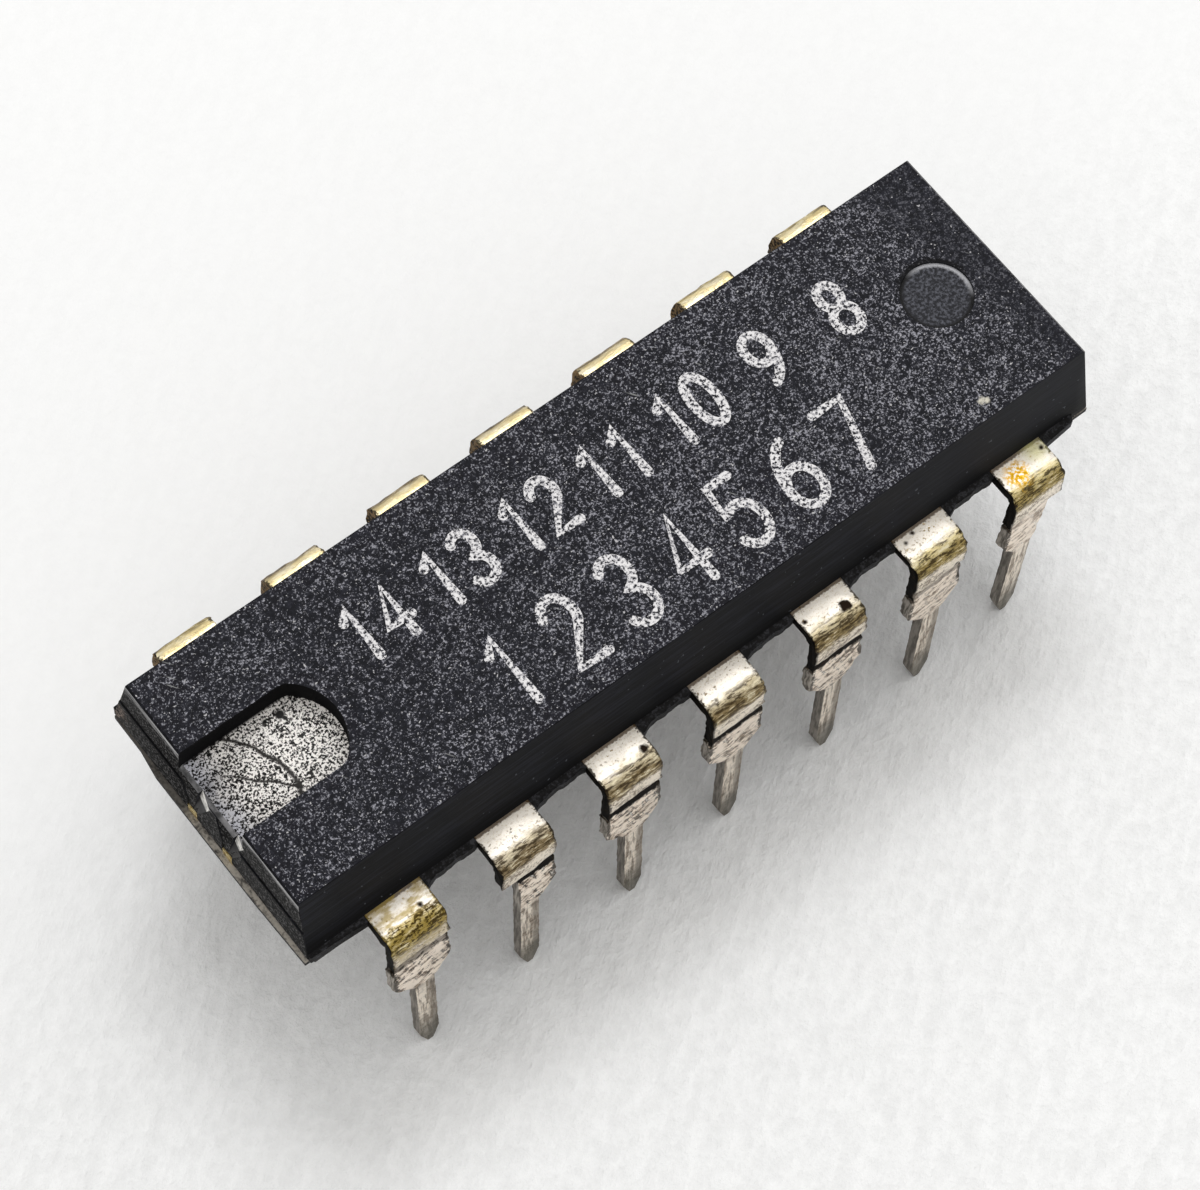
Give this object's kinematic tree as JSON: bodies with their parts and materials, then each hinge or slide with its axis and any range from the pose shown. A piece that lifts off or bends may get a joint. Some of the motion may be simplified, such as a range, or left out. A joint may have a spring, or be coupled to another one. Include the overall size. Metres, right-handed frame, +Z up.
{
  "type": "dip integrated circuit chip",
  "caption": "Dual in-line integrated circuit: a dark moulded case with an index notch, formed flat leads bent down in two rows, and a wire-bonded die on its lead frame inside.",
  "frame": {"origin": "on the floor under the middle of the case, where the lead tips stand", "axes": "+X along the case, away from the index notch; +Y across the rows, towards leads 8 to 14; +Z up, out of the case's top face"},
  "size_m": [0.0193, 0.0083, 0.0071],
  "materials": {
    "case": "black moulding compound with a fine spark-eroded grain",
    "lead_tin": "dull tin plating with yellow tarnish",
    "frame_metal": "bare rolled strip with a silver-plated pad",
    "attach": "cured silver-filled paste",
    "silicon": "polished dark silicon",
    "gold_wire": "bright drawn gold"
  },
  "bodies": {
    "root": {"body": "case", "die_pad": "frame_metal", "die_attach": "attach", "silicon_die": "silicon", "lead_1": "lead_tin", "lead_2": "lead_tin", "lead_3": "lead_tin", "lead_4": "lead_tin", "lead_5": "lead_tin", "lead_6": "lead_tin", "lead_7": "lead_tin", "lead_8": "lead_tin", "lead_9": "lead_tin", "lead_10": "lead_tin", "lead_11": "lead_tin", "lead_12": "lead_tin", "lead_13": "lead_tin", "lead_14": "lead_tin", "bond_wire_1": "gold_wire", "bond_wire_2": "gold_wire", "bond_wire_3": "gold_wire", "bond_wire_4": "gold_wire", "bond_wire_5": "gold_wire", "bond_wire_6": "gold_wire", "bond_wire_7": "gold_wire", "bond_wire_8": "gold_wire", "bond_wire_9": "gold_wire", "bond_wire_10": "gold_wire", "bond_wire_11": "gold_wire", "bond_wire_12": "gold_wire", "bond_wire_13": "gold_wire", "bond_wire_14": "gold_wire"}
  },
  "joints": []
}
